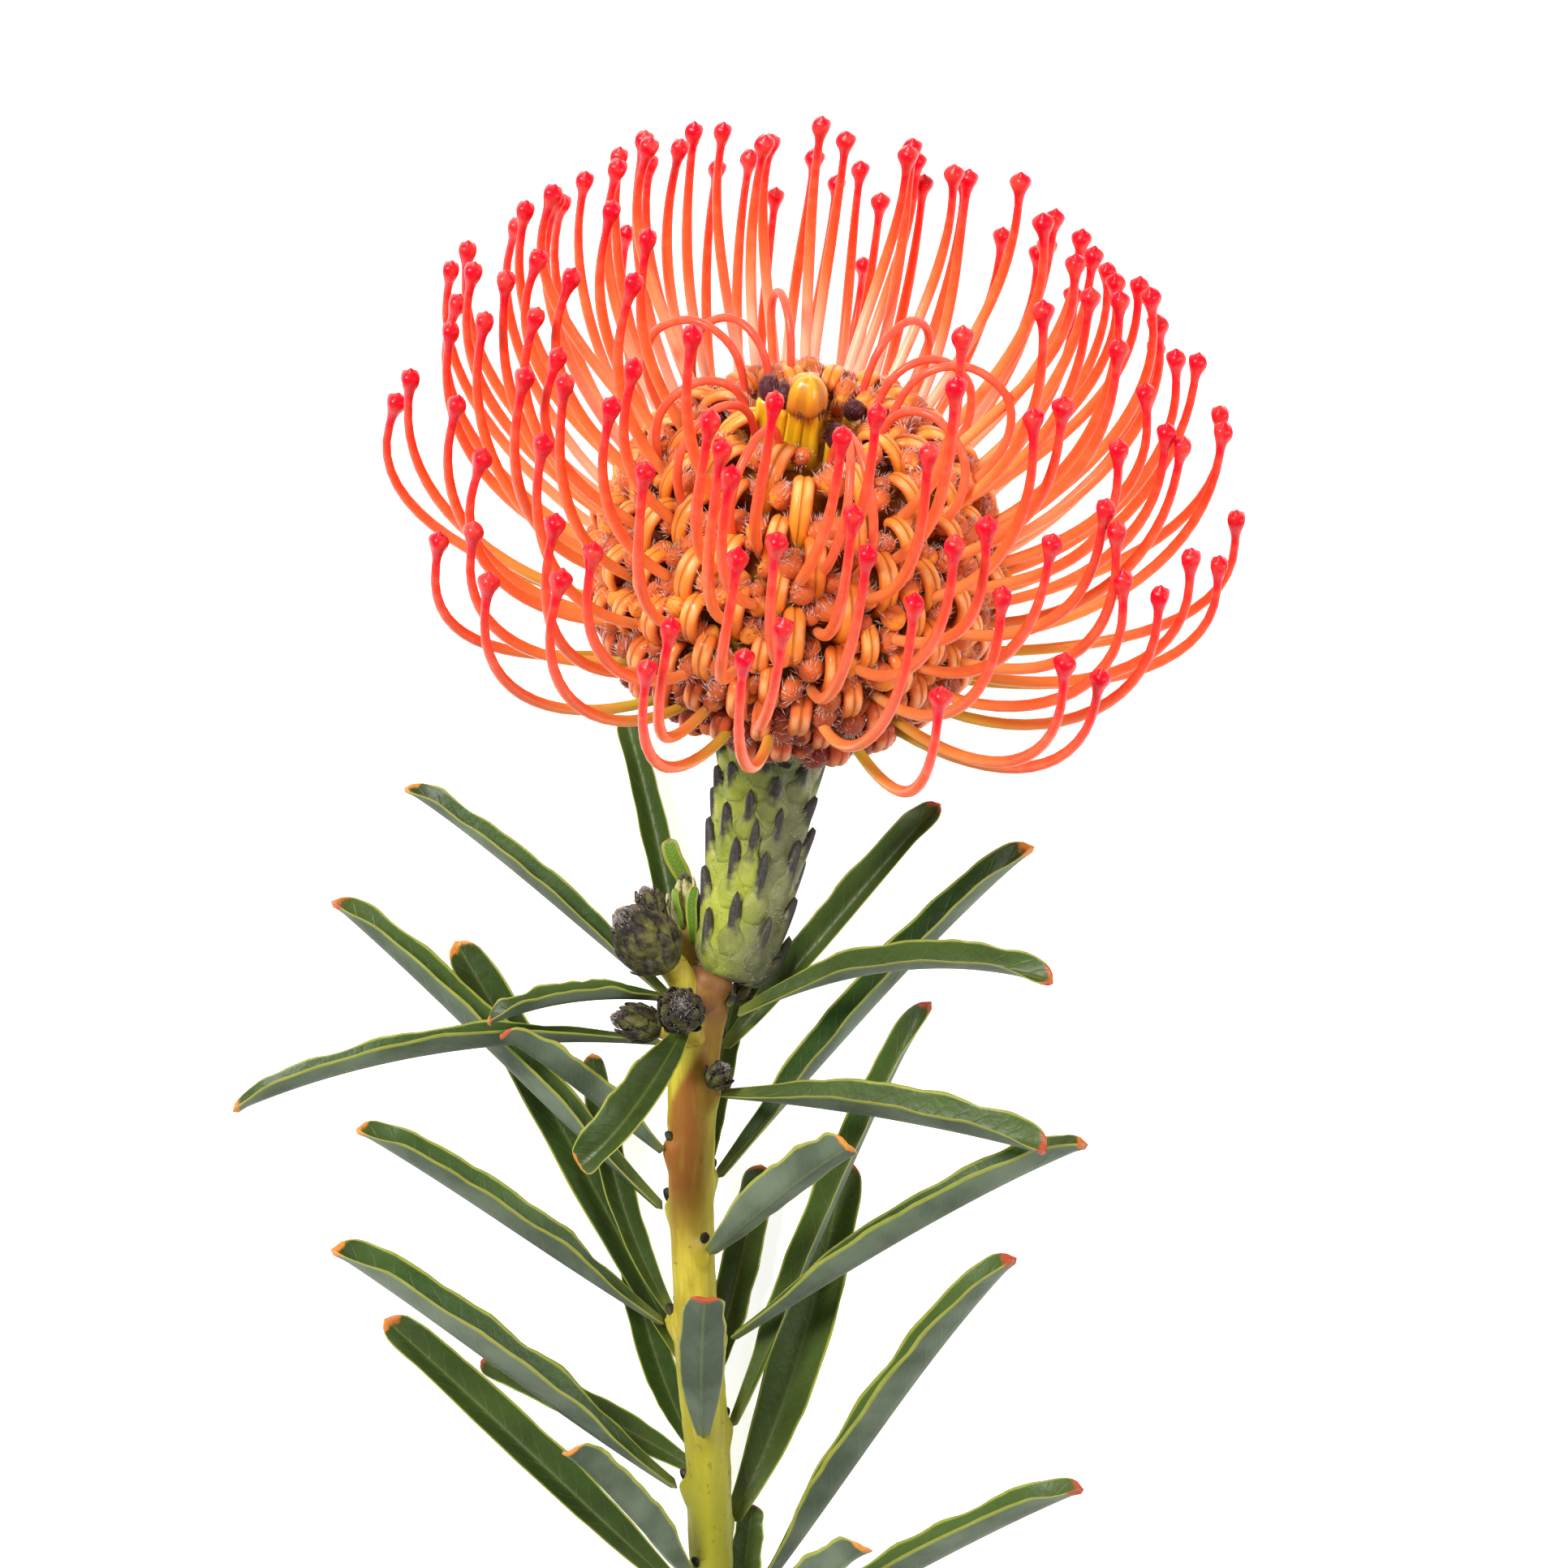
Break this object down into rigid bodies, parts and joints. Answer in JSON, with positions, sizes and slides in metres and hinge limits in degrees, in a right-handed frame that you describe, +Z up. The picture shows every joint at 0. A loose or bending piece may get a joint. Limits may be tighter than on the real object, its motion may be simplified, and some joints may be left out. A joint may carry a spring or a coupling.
{
  "type": "pincushion protea flower",
  "caption": "Cut pincushion protea lying on its back: a head of curved styles over curled florets, on a scaly stalk and leafy stem.",
  "frame": {"origin": "middle of the underside of the lying flower's bounding box, on the surface it rests on", "axes": "+Y from the cut foot of the stem towards the flower head, +Z up from the surface"},
  "size_m": [0.1246, 0.2006, 0.0882],
  "materials": {
    "styles_and_perianth": "satin",
    "bract_scales": "matte",
    "stem_bark": "satin",
    "leaf_blade": "satin",
    "bud_scales": "matte"
  },
  "bodies": {
    "root": {"flower_head": "styles_and_perianth", "peduncle": "bract_scales", "stem": "stem_bark", "leaf_01": "leaf_blade", "leaf_02": "leaf_blade", "leaf_03": "leaf_blade", "leaf_04": "leaf_blade", "leaf_05": "leaf_blade", "leaf_06": "leaf_blade", "leaf_07": "leaf_blade", "leaf_08": "leaf_blade", "leaf_09": "leaf_blade", "leaf_10": "leaf_blade", "leaf_11": "leaf_blade", "leaf_12": "leaf_blade", "leaf_13": "leaf_blade", "leaf_14": "leaf_blade", "leaf_15": "leaf_blade", "leaf_16": "leaf_blade", "leaf_17": "leaf_blade", "leaf_18": "leaf_blade", "leaf_19": "leaf_blade", "leaf_20": "leaf_blade", "leaf_21": "leaf_blade", "leaf_22": "leaf_blade", "leaf_23": "leaf_blade", "leaf_24": "leaf_blade", "leaf_25": "leaf_blade", "leaf_26": "leaf_blade", "leaf_27": "leaf_blade", "leaf_28": "leaf_blade", "leaf_29": "leaf_blade", "leaf_30": "leaf_blade", "bud_large": "bud_scales", "bud_pale": "bud_scales", "bud_cone": "bud_scales", "bud_round": "bud_scales", "bud_hidden": "bud_scales", "bud_axil": "bud_scales"}
  },
  "joints": []
}
